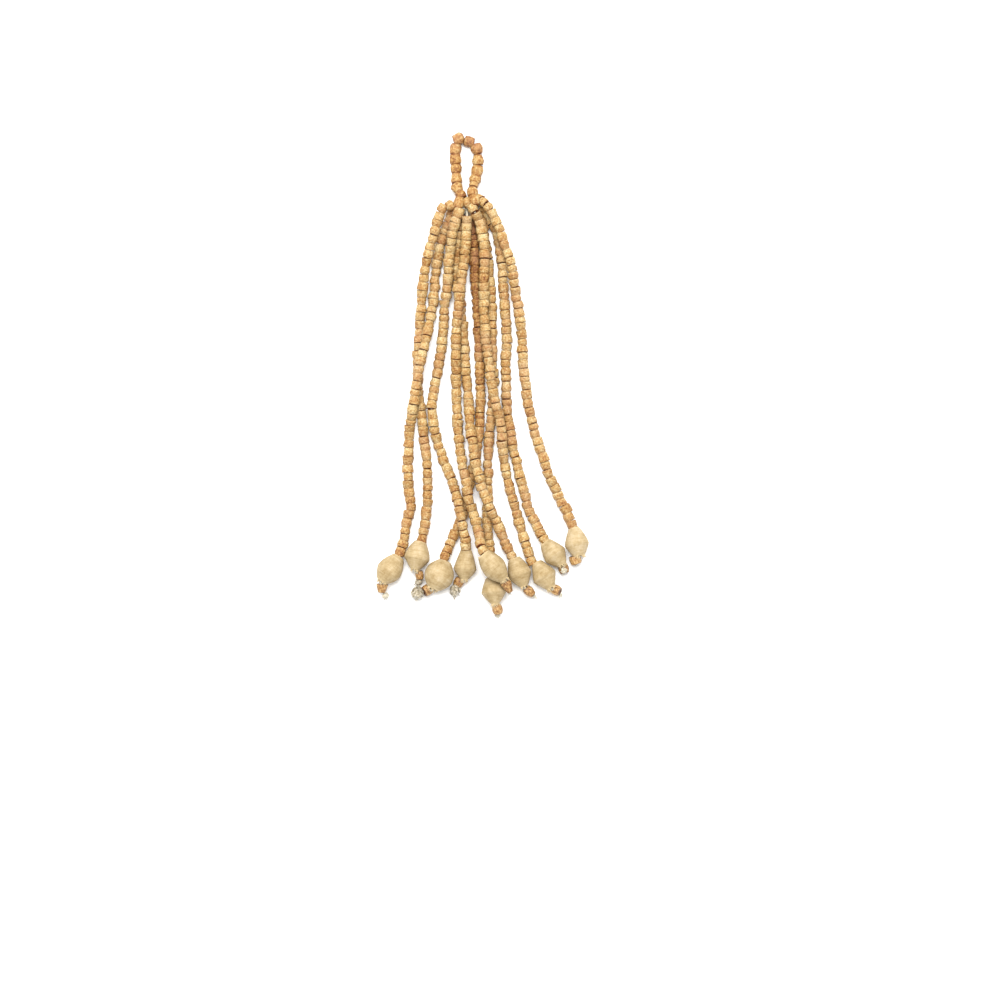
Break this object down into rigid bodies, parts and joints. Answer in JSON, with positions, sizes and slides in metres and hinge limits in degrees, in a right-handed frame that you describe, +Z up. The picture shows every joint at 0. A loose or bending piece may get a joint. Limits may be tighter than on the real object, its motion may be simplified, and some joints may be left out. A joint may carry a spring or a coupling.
{
  "type": "beaded tassel",
  "caption": "Wooden bead tassel: strands of small barrel beads hang from a knot under a beaded loop, each ending in a large turned bead.",
  "frame": {"origin": "On the surface that the tassel lies on, under the middle of its box.", "axes": "+Y from the end beads towards the hanging loop, +X to the right seen from above, +Z up from the surface."},
  "size_m": [0.034, 0.0785, 0.0061],
  "materials": {
    "small_bead_wood": "bare, fine grain",
    "end_bead_wood": "bare, turned, matt",
    "stopper_bead_wood": "bare, fine grain",
    "cotton_thread": "twisted cotton, frayed ends"
  },
  "bodies": {
    "root": {"end_bead_01": "end_bead_wood", "end_bead_02": "end_bead_wood", "end_bead_03": "end_bead_wood", "end_bead_04": "end_bead_wood", "end_bead_05": "end_bead_wood", "end_bead_06": "end_bead_wood", "end_bead_07": "end_bead_wood", "end_bead_08": "end_bead_wood", "end_bead_09": "end_bead_wood", "end_bead_10": "end_bead_wood", "loop_bead_01": "small_bead_wood", "loop_bead_02": "small_bead_wood", "loop_bead_03": "small_bead_wood", "loop_bead_04": "small_bead_wood", "loop_bead_05": "small_bead_wood", "loop_bead_06": "small_bead_wood", "loop_bead_07": "small_bead_wood", "loop_bead_08": "small_bead_wood", "loop_bead_09": "small_bead_wood", "loop_bead_10": "small_bead_wood", "loop_bead_11": "small_bead_wood", "loop_bead_12": "small_bead_wood", "loop_bead_13": "small_bead_wood", "loop_bead_14": "small_bead_wood", "loop_bead_15": "small_bead_wood", "loop_bead_16": "small_bead_wood", "neck_knot": "cotton_thread", "stopper_bead_01": "stopper_bead_wood", "stopper_bead_02": "stopper_bead_wood", "stopper_bead_03": "stopper_bead_wood", "stopper_bead_04": "stopper_bead_wood", "stopper_bead_05": "stopper_bead_wood", "stopper_bead_06": "stopper_bead_wood", "stopper_bead_07": "stopper_bead_wood", "stopper_bead_08": "stopper_bead_wood", "stopper_bead_09": "stopper_bead_wood", "stopper_bead_10": "stopper_bead_wood", "strand_01": "small_bead_wood", "strand_02": "small_bead_wood", "strand_03": "small_bead_wood", "strand_04": "small_bead_wood", "strand_05": "small_bead_wood", "strand_06": "small_bead_wood", "strand_07": "small_bead_wood", "strand_08": "small_bead_wood", "strand_09": "small_bead_wood", "strand_10": "small_bead_wood", "thread_knot_01": "cotton_thread", "thread_knot_02": "cotton_thread", "thread_knot_03": "cotton_thread", "thread_knot_04": "cotton_thread", "thread_knot_05": "cotton_thread", "thread_knot_06": "cotton_thread", "thread_knot_07": "cotton_thread", "thread_knot_08": "cotton_thread", "thread_knot_09": "cotton_thread", "thread_knot_10": "cotton_thread"}
  },
  "joints": []
}
